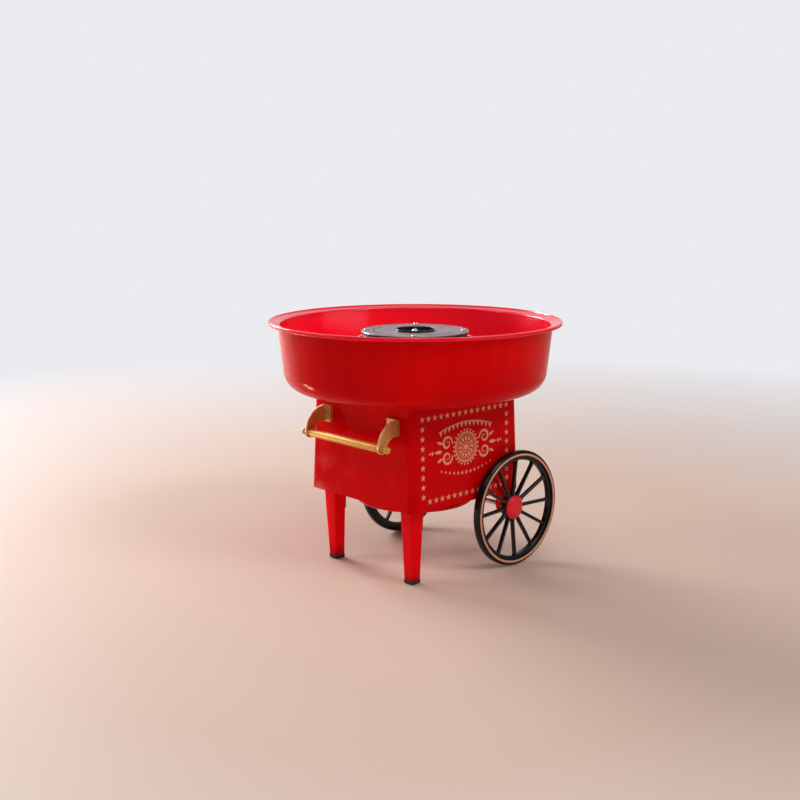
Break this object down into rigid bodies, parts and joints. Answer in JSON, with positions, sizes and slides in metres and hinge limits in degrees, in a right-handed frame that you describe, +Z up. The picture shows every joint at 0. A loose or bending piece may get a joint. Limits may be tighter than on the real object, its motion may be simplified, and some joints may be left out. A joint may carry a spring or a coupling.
{
  "type": "cotton candy machine",
  "caption": "Tabletop cotton candy machine shaped like a carnival cart: wide round bowl, spinning heated head, square body, push handle, front legs and spoked wheels.",
  "frame": {"origin": "on the floor, on the axis of the spinning head and the bowl", "axes": "+Z up, +X towards the wheels, handle at -X, left of a person behind the handle is +Y"},
  "size_m": [0.3064, 0.3064, 0.2603],
  "materials": {
    "red_gloss": "glossy moulded plastic",
    "red_satin": "satin moulded plastic",
    "black_gloss": "glossy moulded plastic",
    "black_matte": "matte heat resistant plastic",
    "gold_plastic": "metallic lacquered plastic",
    "gold_stripe": "printed metallic tan",
    "black_enamel": "stove enamelled sheet",
    "head_black": "dark satin coating",
    "bright_ring": "polished ring",
    "steel": "plated steel",
    "alloy": "turned alloy",
    "bronze": "sintered bronze",
    "copper": "enamelled copper",
    "ceramic": "unglazed ceramic",
    "rubber": "soft rubber",
    "dark_magnet": "ferrite",
    "carbon": "carbon",
    "board_green": "coated board",
    "terminal_white": "moulded terminal",
    "capacitor_body": "dipped film",
    "wire": "insulated lead"
  },
  "bodies": {
    "cart": {"body_shell": "red_gloss", "bottom_cover": "red_gloss", "case_screws": "steel", "left_front_leg": "red_satin", "right_front_leg": "red_satin", "foot_caps": "rubber", "axle_brackets": "red_satin", "wheel_axle": "steel", "axle_retainers": "steel", "handle_bar": "gold_plastic", "handle_knobs": "gold_plastic", "left_handle_bracket": "gold_plastic", "right_handle_bracket": "gold_plastic", "handle_screws": "steel", "heater_tower": "black_matte", "heater_screws": "steel", "heater_pan": "black_enamel", "pan_ring": "bright_ring", "heater_element": "steel", "element_insulators": "ceramic", "thermal_fuse": "alloy", "upper_bearing": "bronze", "motor_mount_plate": "steel", "motor_grommets": "rubber", "motor_screws": "steel", "motor_can": "steel", "motor_end_cap": "alloy", "motor_magnets": "dark_magnet", "motor_bushes": "bronze", "brush_holders": "black_matte", "carbon_brushes": "carbon", "switch_housing": "black_gloss", "switch_blades": "bronze", "cord_inlet": "rubber", "power_board": "board_green", "bridge_rectifier": "black_matte", "filter_capacitor": "capacitor_body", "terminal_blocks": "terminal_white", "wiring": "wire"},
    "spindle": {"motor_shaft": "steel", "drive_pin": "steel", "drive_collar": "bronze", "rotor_core": "steel", "rotor_windings": "copper", "commutator": "copper"},
    "head": {"head_cup": "head_black", "head_disc": "head_black", "head_spacers": "steel", "head_screws": "steel", "sugar_funnel": "head_black", "head_hub": "alloy"},
    "bowl": {"bowl": "red_gloss"},
    "left_wheel": {"left_wheel": "black_gloss", "left_wheel_stripe": "gold_stripe", "left_hub_cap": "red_satin"},
    "right_wheel": {"right_wheel": "black_gloss", "right_wheel_stripe": "gold_stripe", "right_hub_cap": "red_satin"},
    "rocker": {"switch_rocker": "black_gloss"}
  },
  "joints": [
    {"name": "spindle_spin", "type": "hinge", "parent": "cart", "child": "spindle", "pos_m": [0, 0, 0.2], "axis": [0, 0, 1], "continuous": true},
    {"name": "head_lift", "type": "slide", "parent": "spindle", "child": "head", "axis": [0, 0, 1], "range_m": [0, 0.06]},
    {"name": "bowl_lift", "type": "slide", "parent": "cart", "child": "bowl", "axis": [0, 0, 1], "range_m": [0, 0.08]},
    {"name": "left_wheel_spin", "type": "hinge", "parent": "cart", "child": "left_wheel", "pos_m": [0.0641, 0.0876, 0.0619], "axis": [0, 1, 0], "continuous": true},
    {"name": "right_wheel_spin", "type": "hinge", "parent": "cart", "child": "right_wheel", "pos_m": [0.0641, -0.0876, 0.0619], "axis": [0, 1, 0], "continuous": true},
    {"name": "power_switch", "type": "hinge", "parent": "cart", "child": "rocker", "pos_m": [0.07592, 0, 0.1351], "axis": [0, -1, 0], "range_deg": [0, 24]}
  ]
}
